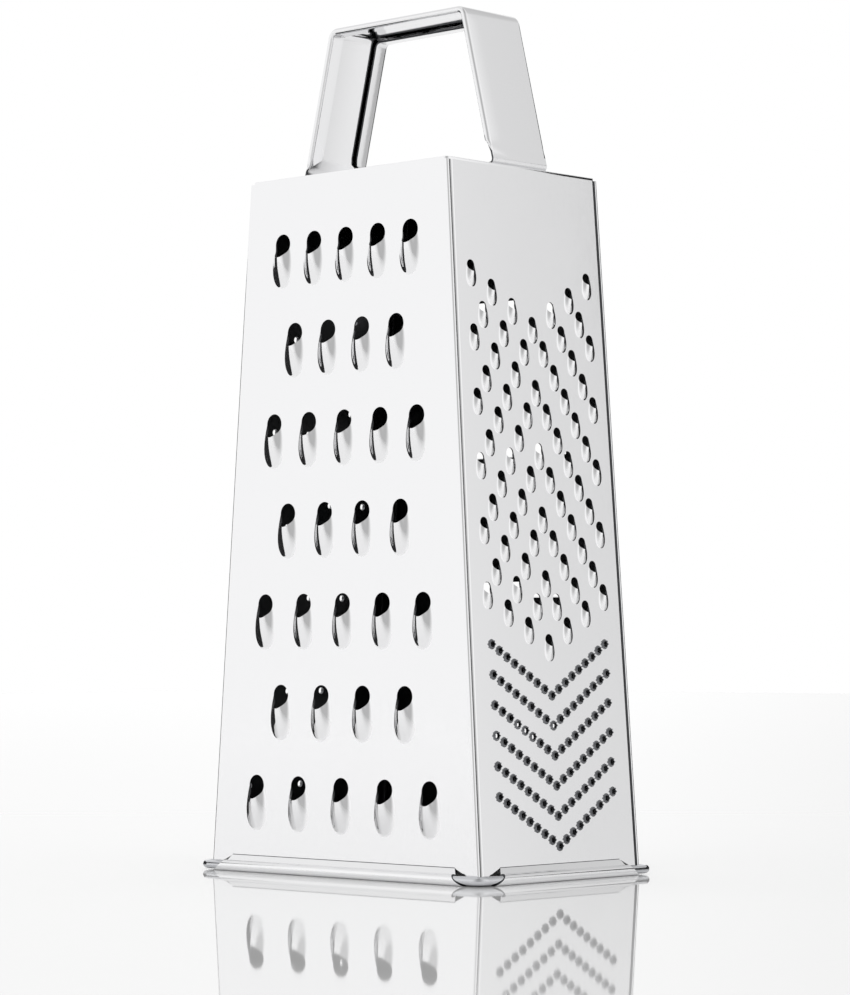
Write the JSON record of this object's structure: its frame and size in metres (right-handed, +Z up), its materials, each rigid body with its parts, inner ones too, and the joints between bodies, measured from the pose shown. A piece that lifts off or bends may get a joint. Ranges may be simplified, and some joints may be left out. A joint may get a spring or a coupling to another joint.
{
  "type": "four-sided box grater",
  "caption": "Tapered four-sided box grater of polished stainless sheet with punched teeth, a rolled wire base and a riveted strap handle.",
  "frame": {"origin": "on the floor, under the middle of the tapered body", "axes": "+Z up along the body to the handle, +X out of the fine grating face, -Y out of the coarse grating face"},
  "size_m": [0.1136, 0.0754, 0.2486],
  "materials": {
    "panel_steel": "bright polished stainless sheet",
    "handle_steel": "bright polished stainless sheet",
    "wire_steel": "bright drawn steel wire",
    "rivet_steel": "satin rivet heads"
  },
  "bodies": {
    "root": {"coarse_panel": "panel_steel", "fine_panel": "panel_steel", "slicing_panel": "panel_steel", "zesting_panel": "panel_steel", "base_wire": "wire_steel", "top_plate": "panel_steel", "handle": "handle_steel", "handle_rivets": "rivet_steel"}
  },
  "joints": []
}
